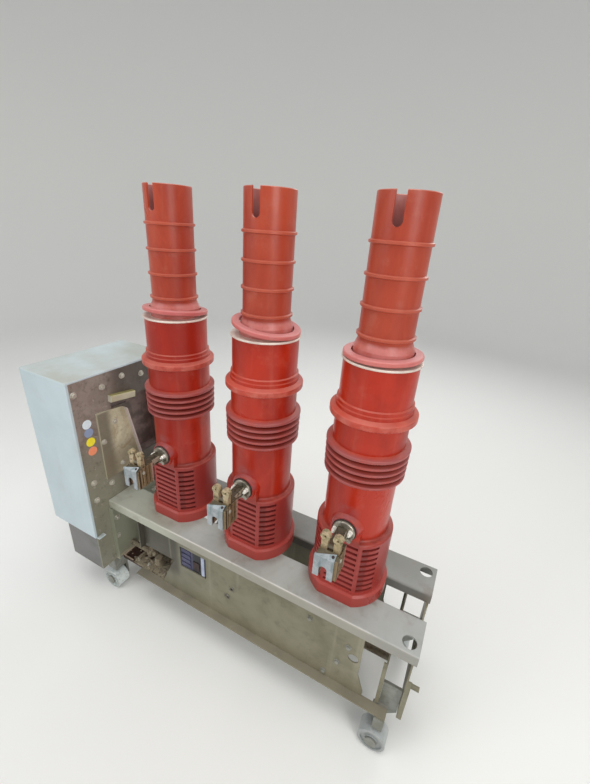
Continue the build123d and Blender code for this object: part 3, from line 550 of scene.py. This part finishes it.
def paint_bar():
    p = sheet_metal(
        "bar_yellow", srgb(186, 178, 138), srgb(164, 154, 112), srgb(110, 96, 64), 0.3, 0.38, 26.0,
        grime=0.45)
    # painted light on the bar's front and end faces; its top is a darker yellow-green
    front = p.facing_mask("y", -1, 0.6, 0.95)
    p.over(srgb(214, 208, 190), front)
    end = p.facing_mask("x", 1, 0.6, 0.95)
    p.over(srgb(206, 200, 178), p.times(end, 0.75))
    top = p.facing_mask("z", 1, 0.6, 0.95)
    p.over(srgb(150, 142, 88), p.times(top, 0.8))
    return p


# Metals and plastics that are the same all over
rim_metal = sheet_metal(
    "rim_metal", srgb(236, 226, 214), srgb(214, 198, 186), srgb(164, 132, 118), 0.3, 0.36, 30.0, grime=0.45)
gasket_dark = sheet_metal(
    "gasket_dark", srgb(58, 40, 38), srgb(44, 32, 32), srgb(86, 66, 58), 0.0, 0.6, 60.0, grime=0.4)
carrier_steel = sheet_metal(
    "carrier_steel", srgb(146, 148, 142), srgb(122, 122, 112), srgb(84, 74, 60), 0.25, 0.42, 20.0,
    dust_color=srgb(150, 144, 130), dust=0.5)
shaft_steel = sheet_metal(
    "shaft_steel", srgb(150, 144, 128), srgb(124, 112, 92), srgb(92, 62, 44), 0.4, 0.4, 26.0, grime=0.7)
housing_grey = sheet_metal(
    "housing_grey", srgb(114, 112, 111), srgb(102, 101, 99), srgb(96, 90, 84), 0.0, 0.5, 7.0,
    dust_color=srgb(150, 144, 132), dust=0.4, grime=0.4)
pale_plastic = sheet_metal(
    "pale_plastic", srgb(176, 184, 206), srgb(156, 166, 192), srgb(110, 112, 128), 0.0, 0.4, 40.0, grime=0.4)
bolt_zinc = sheet_metal(
    "bolt_zinc", srgb(208, 205, 193), srgb(180, 176, 162), srgb(112, 102, 86), 0.4, 0.34, 110.0, grime=0.6)
nut_bright = sheet_metal(
    "nut_bright", srgb(248, 248, 240), srgb(226, 224, 212), srgb(120, 110, 92), 0.35, 0.3, 90.0, grime=0.35)
crumb = sheet_metal(
    "tray_crumbs", srgb(166, 156, 136), srgb(122, 112, 94), srgb(66, 50, 38), 0.0, 0.8, 70.0, grime=0.7)
tray_rim = sheet_metal(
    "tray_rim", srgb(204, 184, 166), srgb(172, 152, 134), srgb(104, 82, 64), 0.0, 0.6, 50.0, grime=0.6)

zinc = paint_clips()
truck_plate = paint_truck()
switch_plastic = paint_switch()

# The first name that a node's name contains gives its material
NODE_PAINT = (
    ("pole_body", paint_pole_bodies()), ("upper_tube", paint_tubes()), ("loose_ring", paint_loose_rings()),
    ("metal_ring", rim_metal), ("lower_terminal", paint_terminals()), ("contact_jaws", paint_jaws()),
    ("contact_clip", zinc), ("_roller_", paint_rollers()), ("axle_carrier", carrier_steel),
    ("_beam", paint_beams()), ("side_plate", paint_side_plate()), ("linkage_plate", paint_linkage_plate()),
    ("bar_bracket", paint_bar()), ("_web", truck_plate), ("end_plate", truck_plate),
    ("cross_plate", truck_plate), ("drive_shaft", shaft_steel), ("drive_", paint_tray()),
    ("mechanism_cover", paint_cover()), ("lower_housing", housing_grey), ("switch_box", switch_plastic),
)
for name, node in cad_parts.items():
    paint = next(paint for key, paint in NODE_PAINT if key in name)
    node.data.materials.clear()
    node.data.materials.append(paint.material)


# ---------------------------------------------------------------- small pieces
def turn_to(direction):
    """Rotation that brings +Z to a direction."""
    return direction.to_track_quat("Z", "Y").to_matrix().to_4x4()


def ring_of(mesh, place, radius, height, sides, turn):
    points = []
    for i in range(sides):
        a = turn + 2 * math.pi * i / sides
        points.append(mesh.verts.new(place @ Vector((radius * math.cos(a), radius * math.sin(a), height))))
    return points


def stack(mesh, place, steps, sides, turn=0.0):
    """A turned or prismatic form: rings of (radius, height) joined from foot to head."""
    rings = [ring_of(mesh, place, radius, height, sides, turn) for radius, height in steps]
    for low, high in zip(rings, rings[1:]):
        for i in range(sides):
            j = (i + 1) % sides
            mesh.faces.new((low[i], low[j], high[j], high[i]))
    mesh.faces.new(list(reversed(rings[0])))
    mesh.faces.new(rings[-1])


def pipe_ring(mesh, place, radius, thick, sides=48, around=10):
    """A round ring lying in the XY plane of its place."""
    loops = []
    for i in range(sides):
        a = 2 * math.pi * i / sides
        loops.append([mesh.verts.new(place @ Vector((
            (radius + thick * math.cos(b)) * math.cos(a), (radius + thick * math.cos(b)) * math.sin(a),
            thick * math.sin(b)))) for b in (2 * math.pi * k / around for k in range(around))])
    for i in range(sides):
        here, there = loops[i], loops[(i + 1) % sides]
        for k in range(around):
            n = (k + 1) % around
            mesh.faces.new((here[k], there[k], there[n], here[n]))


def box_into(mesh, low, high, edge=0.0006):
    """A block with chamfered edges between two corners."""
    size = Vector(high) - Vector(low)
    made = bmesh.ops.create_cube(mesh, size=1.0, matrix=Matrix.Translation(
        (Vector(low) + Vector(high)) / 2) @ Matrix.Diagonal((*size, 1.0)))
    edges = list({e for v in made["verts"] for e in v.link_edges})
    bmesh.ops.bevel(mesh, geom=edges, offset=edge, segments=2, affect="EDGES")


WASHER_HEIGHT = 0.0014


def add_bolt(mesh, point, direction, flats=0.010, washer=0.0085, head=0.0045, stub=0.0):
    """Hexagon head with its chamfer on a washer, and a thread end where one shows."""
    place = Matrix.Translation(point) @ turn_to(direction)
    stack(mesh, place, ((washer, 0.0), (washer, 0.0010), (washer - 0.0004, WASHER_HEIGHT)), 24)
    corner = flats / math.sqrt(3)
    turn = (point.x * 71 + point.y * 133 + point.z * 57) * 10 % 1.0      # each head stands its own way
    rise = WASHER_HEIGHT + head
    stack(mesh, place, (
        (corner, WASHER_HEIGHT), (corner, WASHER_HEIGHT + head * 0.82), (corner * 0.88, rise)), 6, turn)
    if stub:
        radius = flats * 0.29
        end = rise + stub
        stack(mesh, place, ((radius, rise), (radius, end), (radius * 0.75, end + 0.0008)), 16)


def piece(name, mesh, paint, body="root", smooth=False):
    """Turns a bmesh into a named object that rides on a body."""
    bmesh.ops.recalc_face_normals(mesh, faces=mesh.faces)
    bmesh.ops.translate(mesh, verts=mesh.verts, vec=START)
    data = bpy.data.meshes.new(name)
    mesh.to_mesh(data)
    mesh.free()
    data.materials.append(paint.material)
    if smooth:
        data.polygons.foreach_set("use_smooth", [True] * len(data.polygons))
    made = bpy.data.objects.new(name, data)
    bpy.context.scene.collection.objects.link(made)
    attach(made, body)


def bolts(name, points, direction, paint=bolt_zinc, **sizes):
    """Several bolts that look the same way, as one piece."""
    mesh = bmesh.new()
    for point in points:
        add_bolt(mesh, Vector(point), direction, **sizes)
    piece(name, mesh, paint)


def on_x(x, *places):
    """Points on a plane across X, from (y, z) in millimetres."""
    return [(x, y / 1000, z / 1000) for y, z in places]


def on_y(y, *places):
    """Points on a plane across Y, from (x, z) in millimetres."""
    return [(x / 1000, y, z / 1000) for x, z in places]


WEB_BOLT = {"flats": 0.008, "washer": 0.0065, "head": 0.0035}
SCREW = {"flats": 0.007, "washer": 0.006, "head": 0.0025}

bolts("side_plate_bolts", on_x(
    PLATE_FACE, (-151, 643), (-79, 639), (-21, 650), (38, 638), (92, 640), (-141, 396), (-93, 367),
    (-142, 342), (98, 350)), X, washer=0.0078)
bolts("linkage_bolts", on_x(
    LINKAGE_FACE, (-60, 538), (-98, 496), (-54, 410)), X, flats=0.0088, washer=0.007)
bolts("left_end_bolts", on_x(
    LEFT_END_FACE, (-97, 252), (-103, 191), (103, 252), (109, 191), (-30, 262), (36, 262)), X)
bolts("right_end_bolts", on_x(
    RIGHT_END_FACE, (-80, 262), (86, 262), (-80, 130), (86, 130), (3, 262), (96, 203)), X)
bolts("front_web_bolts", on_y(
    WEB_FRONT, (264, 174), (283, 236), (192, 262), (237, 120)), -Y, carrier_steel, **WEB_BOLT)
bolts("back_web_bolts", on_y(
    WEB_BACK, (262, 172), (284, 234), (192, 255), (-60, 262), (60, 262), (-180, 262)),
    Y, carrier_steel, **WEB_BOLT)

# Plain coloured dots on the side plate
DOT_RADIUS = 0.0116
DOT_THICKNESS = 0.0004
for tone, place, color in (
    ("white", (-132, 560), srgb(232, 248, 255)), ("slate", (-131, 537), srgb(146, 162, 194)),
    ("yellow", (-130, 511), srgb(255, 240, 62)), ("orange", (-129, 485), srgb(255, 156, 116)),
):
    darker = tuple(0.9 * c for c in color[:3]) + (1,)
    dot = sheet_metal(f"dot_{tone}", color, darker, srgb(150, 140, 120), 0.0, 0.5, 60.0, grime=0.25)
    mesh = bmesh.new()
    center = Vector(on_x(PLATE_FACE, place)[0])
    stack(mesh, Matrix.Translation(center) @ turn_to(X), (
        (DOT_RADIUS, 0.0), (DOT_RADIUS, DOT_THICKNESS * 0.7),
        (DOT_RADIUS - DOT_THICKNESS * 0.3, DOT_THICKNESS)), 40)
    piece(f"dot_{tone}", mesh, dot)


def add_contact_trim(pole, x):
    """Seal and nuts of a pole's lower terminal, and pins, spring, leaning edge and rivet of its contact."""
    seal_face, seal_radius, seal_thick = -0.0758, 0.0232, 0.0010
    mesh = bmesh.new()
    pipe_ring(mesh, Matrix.Translation((x, seal_face, TERMINAL_Z)) @ turn_to(-Y), seal_radius, seal_thick)
    piece(f"{pole}_terminal_seal", mesh, gasket_dark, smooth=True)
    nut_face = -0.0810
    nuts = [(x - 0.0168, nut_face, DECK + 0.1885), (x + 0.0138, nut_face, DECK + 0.1920)]
    bolts(f"{pole}_terminal_bolts", nuts, -Y, nut_bright,
          flats=0.0078, washer=0.0046, head=0.0075, stub=0.0035)

    block_half_width = 0.0202
    pin = ((0.0036, 0.0), (0.0036, 0.0014), (0.0030, 0.0018))
    mesh = bmesh.new()
    for side in (-1, 1):
        start = Vector((x + side * block_half_width, -0.1485, DECK + 0.189))
        stack(mesh, Matrix.Translation(start) @ turn_to(side * X), pin, 18)
    piece(f"{pole}_contact_pins", mesh, bolt_zinc)

    turns, step, spring_radius, wire = 7, 0.0018, 0.0034, 0.0006
    mesh = bmesh.new()
    for turn in range(turns):
        center = Matrix.Translation((x - 0.0054 + turn * step, -0.1455, DECK + 0.2085))
        pipe_ring(mesh, center @ turn_to(X), spring_radius, wire, 20, 6)
    piece(f"{pole}_contact_spring", mesh, shaft_steel, smooth=True)

    # the clip's upper edge leans back over the block, more towards its right end
    left_profile = ((-0.1640, 0.1958), (-0.1627, 0.1978), (-0.1616, 0.1966))
    right_profile = ((-0.1640, 0.1958), (-0.1534, 0.2046), (-0.1526, 0.2026))
    clip_left, clip_right = x - 0.0228, x + 0.0140
    mesh = bmesh.new()
    left_end = [mesh.verts.new((clip_left, y, DECK + z)) for y, z in left_profile]
    right_end = [mesh.verts.new((clip_right, y, DECK + z)) for y, z in right_profile]
    mesh.faces.new(left_end)
    mesh.faces.new(list(reversed(right_end)))
    for i in range(3):
        j = (i + 1) % 3
        mesh.faces.new((left_end[i], left_end[j], right_end[j], right_end[i]))
    piece(f"{pole}_clip_lean", mesh, zinc)

    across_lean = turn_to(Vector((0, -0.66, 0.75)))
    rivet = ((0.0027, 0.0), (0.0027, 0.0006), (0.0022, 0.0008))
    mesh = bmesh.new()
    stack(mesh, Matrix.Translation((x + 0.0095, -0.1578, DECK + 0.2006)) @ across_lean, rivet, 20)
    piece(f"{pole}_clip_rivet", mesh, gasket_dark)


for pole, x in POLES.items():
    add_contact_trim(pole, x)

# Switch box front: terminal block, pale strip and dark cover in the web's window
SWITCH_FRONT = -0.0964
ROW_STEP = 0.0150
mesh = bmesh.new()
for row in range(4):
    lift = row * ROW_STEP
    box_into(mesh, (-0.1690, -0.0985, 0.2085 + lift), (-0.1400, SWITCH_FRONT, 0.2205 + lift))
piece("switch_terminals", mesh, switch_plastic)
mesh = bmesh.new()
box_into(mesh, (-0.1060, -0.0990, 0.2060), (-0.0960, SWITCH_FRONT, 0.2680), 0.0008)
piece("switch_strip", mesh, pale_plastic)
mesh = bmesh.new()
box_into(mesh, (-0.1320, -0.0982, 0.2140), (-0.1120, SWITCH_FRONT, 0.2400), 0.0008)
piece("switch_knob_plate", mesh, gasket_dark)


# The tray: what stands on it, and its pockets as middle and half sizes in X and Y
TRAY_X, TRAY_Y = (-0.398, -0.205), (-0.094, 0.06)
CRANK_X, CRANK_Y = (-0.266, -0.238), (-0.06, 0.02)
TRAY_BOSS, BOSS_CLEARANCE = (-0.292, -0.066), 0.020
TRAY_POCKETS = ((-0.377, -0.066, 0.019, 0.025), (-0.333, -0.045, 0.015, 0.023))
TRAY_RIB = (-0.353, -0.058, 0.006, 0.037)


def within(x, y, center_x, center_y, half_x, half_y):
    return abs(x - center_x) < half_x and abs(y - center_y) < half_y


def add_crumbs(mesh, count):
    """Dirt lying in the drive tray, clear of its boss, its shaft, the rib and most of the pockets."""
    seed = random.Random(7)
    for index in range(count):
        x, y = seed.uniform(*TRAY_X), seed.uniform(*TRAY_Y)
        on_boss = math.hypot(x - TRAY_BOSS[0], y - TRAY_BOSS[1]) < BOSS_CLEARANCE
        at_crank = CRANK_X[0] < x < CRANK_X[1] and CRANK_Y[0] < y < CRANK_Y[1]
        if on_boss or at_crank:
            continue
        size = seed.uniform(0.0012, 0.0036) if index % 12 else seed.uniform(0.0040, 0.0065)
        in_pocket = any(within(x, y, *pocket) for pocket in TRAY_POCKETS)
        if within(x, y, *TRAY_RIB) or (in_pocket and index % 4):
            continue
        floor = POCKET_FLOOR if in_pocket else TRAY_FLOOR
        place = Matrix.Translation((x, y, floor + size * 0.3))
        turn = Matrix.Rotation(seed.uniform(0, 6), 4, "Z")
        flatten = Matrix.Diagonal((
            seed.uniform(0.8, 1.5), seed.uniform(0.7, 1.2), seed.uniform(0.4, 0.7), 1))
        made = bmesh.ops.create_icosphere(mesh, subdivisions=1, radius=size, matrix=place @ turn @ flatten)
        for vert in made["verts"]:
            jitter = Vector((seed.uniform(-1, 1), seed.uniform(-1, 1), seed.uniform(-0.5, 0.5)))
            vert.co += jitter * size * 0.22


mesh = bmesh.new()
add_crumbs(mesh, 320)
piece("tray_dirt", mesh, crumb)

# Worn folded edges of the tray at its open corner
mesh = bmesh.new()
box_into(mesh, (-0.4022, -0.0965, TRAY_SEAT), (-0.3980, -0.0400, 0.1130))
box_into(mesh, (-0.3978, -0.0967, TRAY_SEAT), (-0.3640, -0.0940, 0.1106))
piece("tray_edges", mesh, tray_rim)

# Nuts left in the front corner of the tray
bolts("tray_nuts", [(-0.352, -0.087, TRAY_SEAT), (-0.312, -0.085, TRAY_SEAT), (-0.222, -0.070, TRAY_SEAT)],
      Z, flats=0.007, washer=0.0052, head=0.0035, stub=0.0025)

# Plain screws of the cover and the lower housing on the sides that the photo doesn't show
SCREW_ROWS = (0.262, 0.455, 0.648)
bolts("cover_left_screws", [(COVER_LEFT, y, z) for y in (-0.145, 0.107) for z in SCREW_ROWS], -X, **SCREW)
bolts("cover_back_screws", [(x, COVER_BACK, z) for x in (-0.556, -0.426) for z in SCREW_ROWS], Y, **SCREW)
bolts("housing_screws", [(x, HOUSING_BACK, 0.135) for x in (-0.515, -0.430)], Y, **SCREW)


# ---------------------------------------------------------------- studio
def make_stage():
    """Pale floor that curves up all round, far outside the object."""
    flat, curve, wall_top, bends, sides = 3.4, 1.4, 4.2, 12, 96
    profile = [(0.0, 0.0), (1.2, 0.0), (2.4, 0.0), (flat, 0.0)]
    profile += [(flat + curve * math.sin(a), curve - curve * math.cos(a)) for a in
                [math.pi / 2 * i / bends for i in range(1, bends + 1)]]
    profile.append((flat + curve, wall_top))
    mesh = bmesh.new()
    rings = []
    for radius, height in profile:
        rings.append([mesh.verts.new((
            radius * math.cos(2 * math.pi * i / sides), radius * math.sin(2 * math.pi * i / sides), height,
        )) for i in range(sides)] if radius else [mesh.verts.new((0, 0, 0))])
    for i in range(sides):
        j = (i + 1) % sides
        mesh.faces.new((rings[0][0], rings[1][i], rings[1][j]))
        for low, high in zip(rings[1:], rings[2:]):
            mesh.faces.new((low[i], high[i], high[j], low[j]))
    data = bpy.data.meshes.new("stage")
    mesh.to_mesh(data)
    mesh.free()
    data.polygons.foreach_set("use_smooth", [True] * len(data.polygons))
    floor = bpy.data.objects.new("stage", data)
    bpy.context.scene.collection.objects.link(floor)
    p = Paint("stage_white", specular=0.2)
    p.color(srgb(232, 232, 229))
    p.rough(0.85)
    data.materials.append(p.material)


def lamp(name, place, aim, size, power, color=(1, 1, 1)):
    light = bpy.data.lights.new(name, "AREA")
    light.shape = "RECTANGLE"
    light.size, light.size_y = size
    light.energy = power
    light.color = color
    holder = bpy.data.objects.new(name, light)
    holder.location = place
    holder.rotation_mode = "QUATERNION"
    holder.rotation_quaternion = (Vector(aim) - Vector(place)).to_track_quat("-Z", "Y")
    bpy.context.scene.collection.objects.link(holder)


def make_world(color, strength):
    world = bpy.data.worlds.new("studio")
    bpy.context.scene.world = world
    world.use_nodes = True
    sky = world.node_tree.nodes["Background"].inputs
    sky[0].default_value = color
    sky[1].default_value = strength


def make_camera(place, yaw, pitch, roll, lens):
    """Camera that looks along +Y when its three angles are 0; they are in radians."""
    forward = Vector((math.sin(yaw) * math.cos(pitch), math.cos(yaw) * math.cos(pitch), -math.sin(pitch)))
    level = Vector((math.cos(yaw), -math.sin(yaw), 0.0))
    over = level.cross(forward)
    side = math.cos(roll) * level + math.sin(roll) * over
    upright = -math.sin(roll) * level + math.cos(roll) * over
    camera = bpy.data.objects.new("camera", bpy.data.cameras.new("camera"))
    camera.matrix_world = Matrix.Translation(START + Vector(place)) @ Matrix(
        (side, upright, -forward)).transposed().to_4x4()
    camera.data.sensor_width = 36.0
    camera.data.lens = lens
    camera.data.clip_start = 0.01
    camera.data.clip_end = 50
    bpy.context.scene.collection.objects.link(camera)
    bpy.context.scene.camera = camera


make_stage()
lamp("ceiling", place=(0.1, -0.4, 3.4), aim=(0, 0, 0.5), size=(2.6, 1.6), power=50, color=(1.0, 0.99, 0.97))
lamp("front_left", place=(-1.9, -2.2, 1.9), aim=(-0.2, 0, 0.5), size=(1.4, 1.6), power=22,
     color=(0.95, 0.98, 1.0))
lamp("front_right", place=(2.1, -1.5, 1.6), aim=(0.1, 0, 0.5), size=(1.2, 1.4), power=26,
     color=(1.0, 0.98, 0.95))
lamp("behind", place=(0.3, 2.2, 2.0), aim=(0, 0, 0.6), size=(1.8, 1.2), power=16)
make_world(color=(0.93, 0.95, 1.0, 1), strength=0.42)
# place, angles and lens fitted to the photo
make_camera(place=(0.3661, -0.6120, 1.0261), yaw=-0.4493, pitch=0.4206, roll=0.0697, lens=17.26)
bpy.context.scene.view_settings.view_transform = "Standard"
